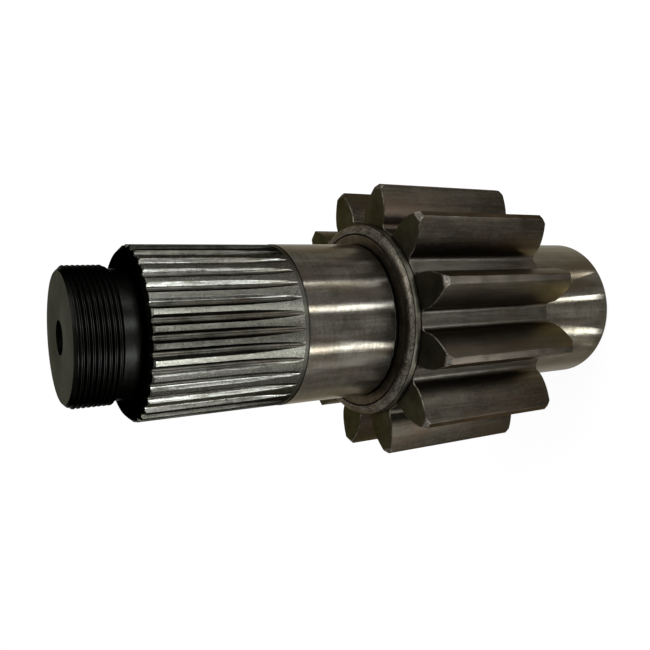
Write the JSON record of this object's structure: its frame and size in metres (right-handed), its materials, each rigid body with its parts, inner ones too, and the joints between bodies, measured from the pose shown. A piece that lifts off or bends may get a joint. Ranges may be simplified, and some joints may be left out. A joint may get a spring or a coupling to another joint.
{
  "type": "pinion gear",
  "caption": "Straight spur pinion cut on its own shaft, with two ground bearing seats, a collar, an external involute spline and a locknut thread.",
  "frame": {"origin": "centre of the lower seat's end face, on which the shaft stands", "axes": "+Z along the shaft's axis towards the threaded end; +X through the middle of one pinion tooth"},
  "size_m": [0.198, 0.198, 0.42],
  "materials": {
    "steel": "machined and ground alloy steel, lightly oiled, dark at the threaded end"
  },
  "bodies": {
    "root": {"pinion_shaft": "steel"}
  },
  "joints": []
}
